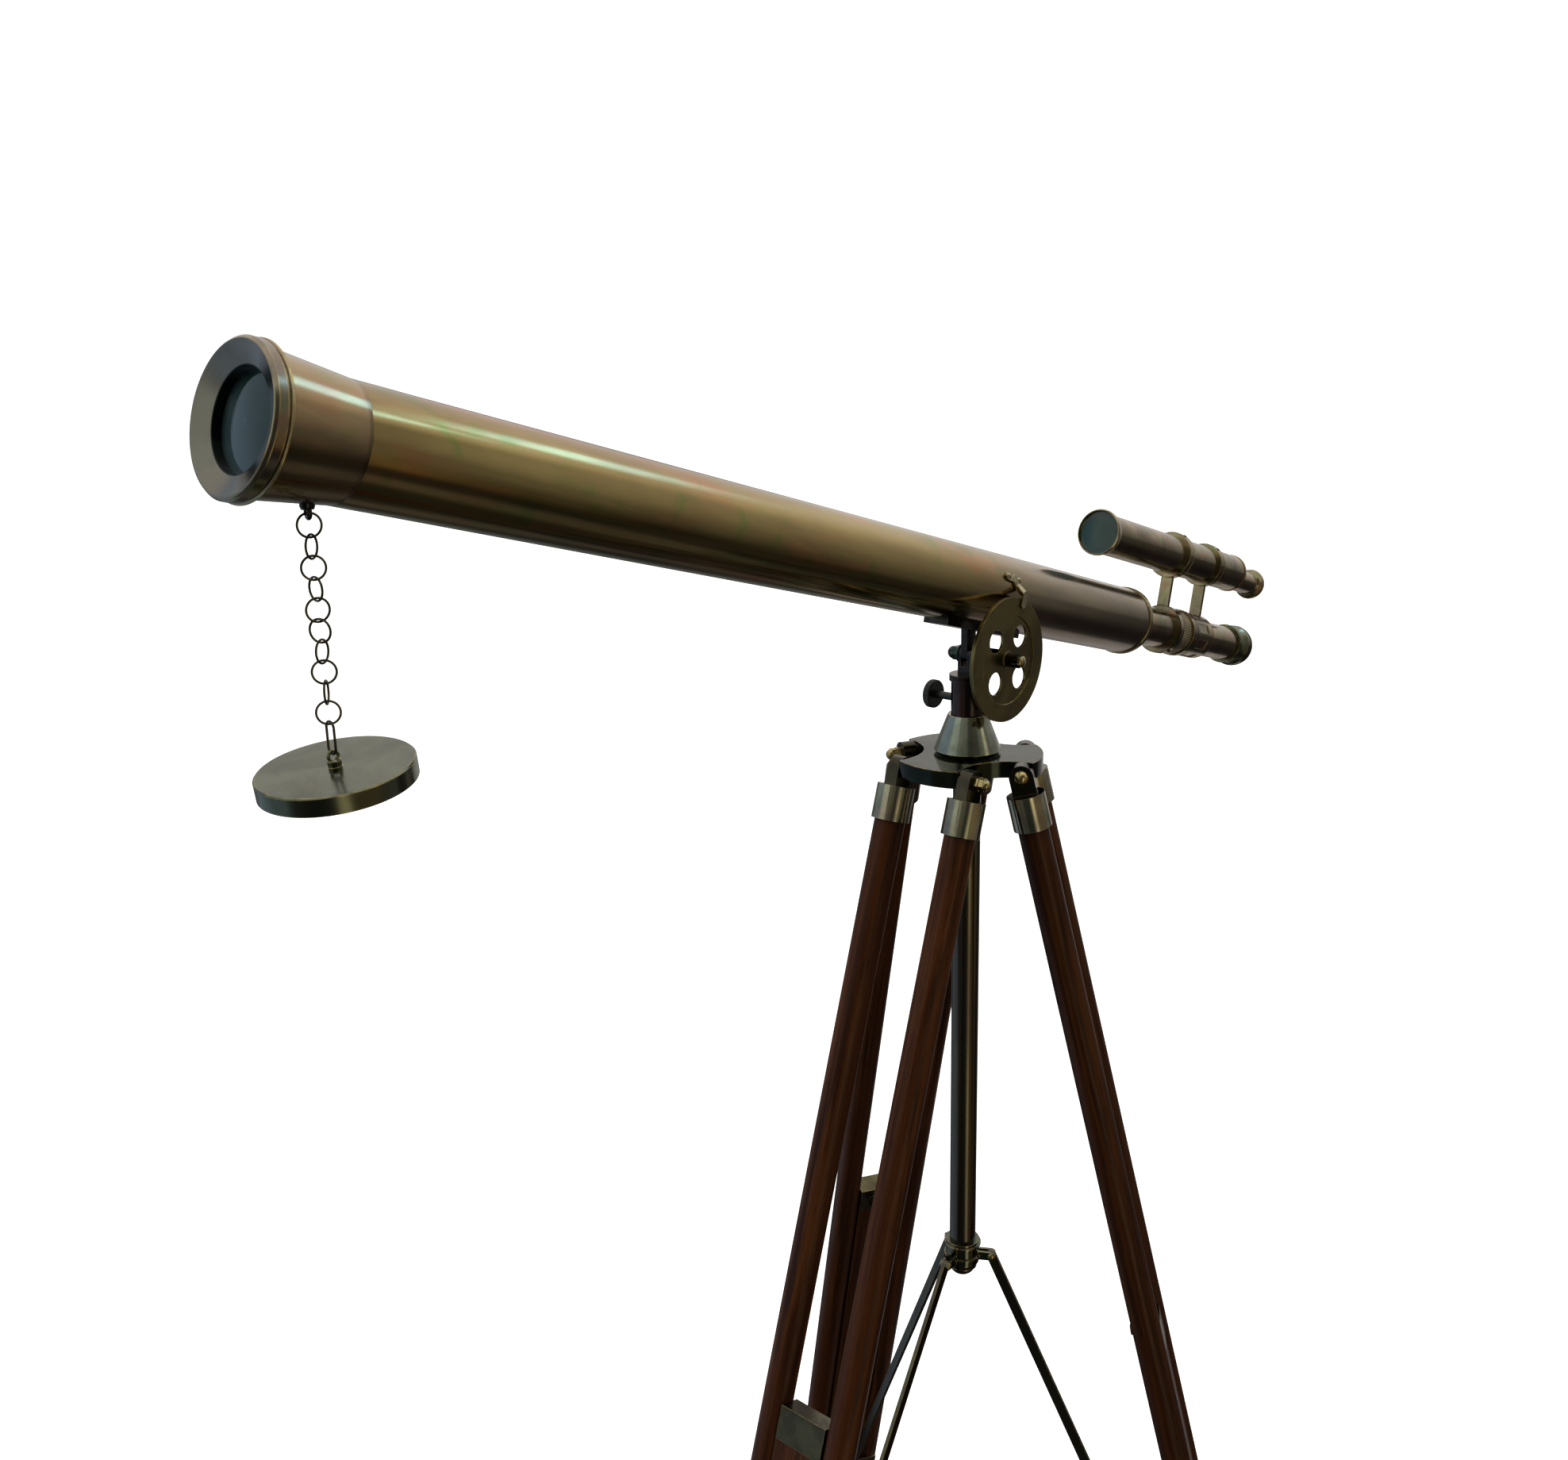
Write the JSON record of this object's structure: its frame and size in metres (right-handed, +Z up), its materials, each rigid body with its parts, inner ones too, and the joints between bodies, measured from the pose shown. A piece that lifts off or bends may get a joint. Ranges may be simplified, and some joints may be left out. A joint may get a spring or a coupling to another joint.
{
  "type": "telescope on tripod",
  "caption": "Antique brass refracting telescope with a finder and a chained lens cap, on a turning head over a folding three-legged wooden stand.",
  "frame": {"origin": "on the floor, under the middle of the bounding box", "axes": "+Z up; +X the way the objective points, over the front leg; +Y the side with the altitude wheel"},
  "size_m": [1.0084, 0.6479, 1.4471],
  "materials": {
    "tube_brass": "antique polished, lacquered",
    "stand_bronze": "antique satin",
    "wheel_bronze": "antique satin",
    "bright_brass": "worn polished",
    "dark_metal": "blackened satin",
    "knob_black": "black, knurled",
    "leg_wood": "dark mahogany, varnished",
    "lens_glass": "coated",
    "foot_rubber": "matt",
    "chain_brass": "antique",
    "cap_brass": "antique satin"
  },
  "bodies": {
    "stand": {"hub_plate": "stand_bronze", "hub_cone": "stand_bronze", "centre_column": "stand_bronze", "column_end_cap": "stand_bronze", "leg_bolts": "bright_brass"},
    "brace_collar": {"brace_collar": "stand_bronze", "brace_pins": "bright_brass"},
    "brace_1": {"brace_1": "stand_bronze"},
    "leg_1": {"leg_1_rails": "leg_wood", "leg_1_ferrules": "bright_brass", "leg_1_brackets": "bright_brass"},
    "leg_1_knob": {"leg_1_knob": "knob_black"},
    "slider_1": {"leg_1_slider": "leg_wood", "leg_1_slider_cap": "bright_brass", "leg_1_foot": "foot_rubber"},
    "brace_2": {"brace_2": "stand_bronze"},
    "leg_2": {"leg_2_rails": "leg_wood", "leg_2_ferrules": "bright_brass", "leg_2_brackets": "bright_brass"},
    "leg_2_knob": {"leg_2_knob": "knob_black"},
    "slider_2": {"leg_2_slider": "leg_wood", "leg_2_slider_cap": "bright_brass", "leg_2_foot": "foot_rubber"},
    "brace_3": {"brace_3": "stand_bronze"},
    "leg_3": {"leg_3_rails": "leg_wood", "leg_3_ferrules": "bright_brass", "leg_3_brackets": "bright_brass"},
    "leg_3_knob": {"leg_3_knob": "knob_black"},
    "slider_3": {"leg_3_slider": "leg_wood", "leg_3_slider_cap": "bright_brass", "leg_3_foot": "foot_rubber"},
    "pan_head": {"pan_socket": "dark_metal", "pan_fork": "dark_metal", "pivot_bolt": "bright_brass", "pivot_nut": "dark_metal", "wheel_spacer": "dark_metal"},
    "pan_clamp_knob": {"pan_clamp_knob": "knob_black"},
    "telescope": {"altitude_wheel": "wheel_bronze", "wheel_bracket": "wheel_bronze", "saddle": "dark_metal", "main_tube": "tube_brass", "flared_hood": "tube_brass", "objective_ring": "tube_brass", "objective_lens": "lens_glass", "tube_end_ring": "tube_brass", "rear_sleeve": "tube_brass", "sleeve_collars": "tube_brass", "finder_tube": "tube_brass", "finder_clamps": "tube_brass", "finder_lens": "lens_glass", "finder_end_ring": "tube_brass", "chain_lug": "dark_metal"},
    "eyepiece": {"eye_tube": "tube_brass", "eyepiece_cup": "tube_brass", "eye_lens": "lens_glass"},
    "finder_focus": {"finder_eyepiece": "tube_brass"},
    "chain_upper": {"chain_upper": "chain_brass"},
    "chain_lower": {"chain_lower": "chain_brass", "chain_hook": "chain_brass"},
    "lens_cap": {"lens_cap": "cap_brass"}
  },
  "joints": [
    {"name": "leg_1_fold", "type": "hinge", "parent": "stand", "child": "leg_1", "pos_m": [-0.0012, 0.0353, 1.142], "axis": [0, 1, 0], "range_deg": [0, 18.4]},
    {"name": "leg_2_fold", "type": "hinge", "parent": "stand", "child": "leg_2", "pos_m": [-0.0612, 0.06994, 1.142], "axis": [-0.866, -0.5, 0], "range_deg": [0, 13.3]},
    {"name": "leg_3_fold", "type": "hinge", "parent": "stand", "child": "leg_3", "pos_m": [-0.0612, 0.00066, 1.142], "axis": [0.866, -0.5, 0], "range_deg": [0, 17.1]},
    {"name": "collar_slide", "type": "slide", "parent": "stand", "child": "brace_collar", "axis": [0, 0, 1], "range_m": [0, 0.037]},
    {"name": "brace_1_swing", "type": "hinge", "parent": "brace_collar", "child": "brace_1", "pos_m": [-0.0187, 0.0353, 0.741], "axis": [0, 1, 0], "range_deg": [0, 32.6]},
    {"name": "brace_2_swing", "type": "hinge", "parent": "brace_collar", "child": "brace_2", "pos_m": [-0.05245, 0.05479, 0.741], "axis": [-0.866, -0.5, 0], "range_deg": [0, 23.85]},
    {"name": "brace_3_swing", "type": "hinge", "parent": "brace_collar", "child": "brace_3", "pos_m": [-0.05245, 0.01581, 0.741], "axis": [0.866, -0.5, 0], "range_deg": [0, 30.29]},
    {"name": "leg_1_extend", "type": "slide", "parent": "leg_1", "child": "slider_1", "axis": [0.3156, 0, -0.9489], "range_m": [-0.19, 0.12]},
    {"name": "leg_1_knob_turn", "type": "hinge", "parent": "leg_1", "child": "leg_1_knob", "pos_m": [0.29109, 0.0353, 0.26334], "axis": [0.9489, 0, 0.3156], "range_deg": [0, 270]},
    {"name": "leg_2_extend", "type": "slide", "parent": "leg_2", "child": "slider_2", "axis": [-0.1142, 0.1978, -0.9736], "range_m": [-0.19, 0.12]},
    {"name": "leg_2_knob_turn", "type": "hinge", "parent": "leg_2", "child": "leg_2_knob", "pos_m": [-0.16693, 0.25306, 0.24047], "axis": [-0.4868, 0.8431, 0.2284], "range_deg": [0, 270]},
    {"name": "leg_3_extend", "type": "slide", "parent": "leg_3", "child": "slider_3", "axis": [-0.1462, -0.2532, -0.9563], "range_m": [-0.19, 0.12]},
    {"name": "leg_3_knob_turn", "type": "hinge", "parent": "leg_3", "child": "leg_3_knob", "pos_m": [-0.19657, -0.23381, 0.25646], "axis": [-0.4782, -0.8282, 0.2924], "range_deg": [0, 270]},
    {"name": "pan", "type": "hinge", "parent": "stand", "child": "pan_head", "pos_m": [-0.0412, 0.0353, 1.15], "axis": [0, 0, 1], "continuous": true},
    {"name": "pan_knob_turn", "type": "hinge", "parent": "pan_head", "child": "pan_clamp_knob", "pos_m": [-0.0412, 0.0353, 1.1885], "axis": [0, -1, 0], "range_deg": [0, 270]},
    {"name": "altitude", "type": "hinge", "parent": "pan_head", "child": "telescope", "pos_m": [-0.0412, 0.0353, 1.2213], "axis": [0, -1, 0], "range_deg": [-35, 40]},
    {"name": "focus", "type": "slide", "parent": "telescope", "child": "eyepiece", "axis": [-0.9659, 0, -0.2588], "range_m": [-0.045, 0.03]},
    {"name": "finder_focus_slide", "type": "slide", "parent": "telescope", "child": "finder_focus", "axis": [-0.9659, 0, -0.2588], "range_m": [-0.03, 0.015]},
    {"name": "chain_swing", "type": "hinge", "parent": "telescope", "child": "chain_upper", "pos_m": [0.4643, 0.0353, 1.37145], "axis": [0, 1, 0], "range_deg": [-25, 25]},
    {"name": "chain_bend", "type": "hinge", "parent": "chain_upper", "child": "chain_lower", "pos_m": [0.4643, 0.0353, 1.3238], "axis": [0, 1, 0], "range_deg": [-15, 15]},
    {"name": "cap_swing", "type": "hinge", "parent": "chain_lower", "child": "lens_cap", "pos_m": [0.4643, 0.0353, 1.2621], "axis": [0, 1, 0], "range_deg": [-15, 15]}
  ],
  "couplings": [
    {"joint": "leg_2_fold", "follows": "leg_1_fold", "ratio": 0.71739},
    {"joint": "leg_3_fold", "follows": "leg_1_fold", "ratio": 0.92391},
    {"joint": "collar_slide", "follows": "leg_1_fold", "m_per_rad": 0.11356},
    {"joint": "brace_1_swing", "follows": "leg_1_fold", "ratio": 1.7661},
    {"joint": "brace_2_swing", "follows": "leg_1_fold", "ratio": 1.2908},
    {"joint": "brace_3_swing", "follows": "leg_1_fold", "ratio": 1.6406}
  ]
}
